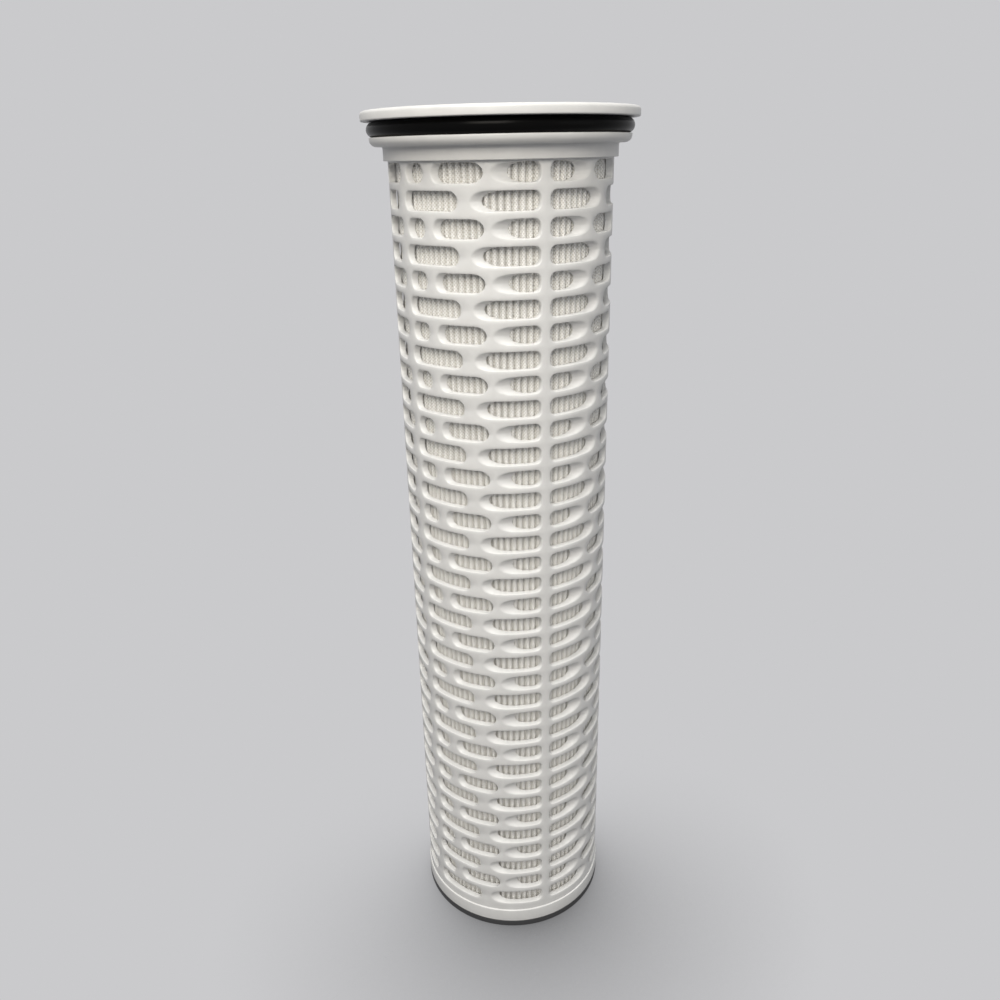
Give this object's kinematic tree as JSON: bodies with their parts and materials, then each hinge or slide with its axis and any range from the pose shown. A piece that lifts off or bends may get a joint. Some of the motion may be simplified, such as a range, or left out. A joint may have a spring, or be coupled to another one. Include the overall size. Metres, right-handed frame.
{
  "type": "high flow filter cartridge",
  "caption": "Tall round pleated filter cartridge in a slotted plastic cage, flanged open end with an O-ring, closed lower end.",
  "frame": {"origin": "on the axis, at the underside of the base pad", "axes": "+Z along the cartridge's axis, from the closed end to the flanged open end; a parting spine lies 21 degrees from -Y towards +X"},
  "size_m": [0.185, 0.185, 0.6414],
  "materials": {
    "white_plastic": "satin moulded polypropylene",
    "black_rubber": "smooth rubber",
    "dark_pad": "matte",
    "pleat_netting": "fine mesh"
  },
  "bodies": {
    "root": {"base_pad": "dark_pad", "bottom_end_cap": "white_plastic", "outer_cage": "white_plastic", "pleated_pack": "pleat_netting", "inner_core": "white_plastic", "top_end_cap": "white_plastic", "flange_o_ring": "black_rubber"}
  },
  "joints": []
}
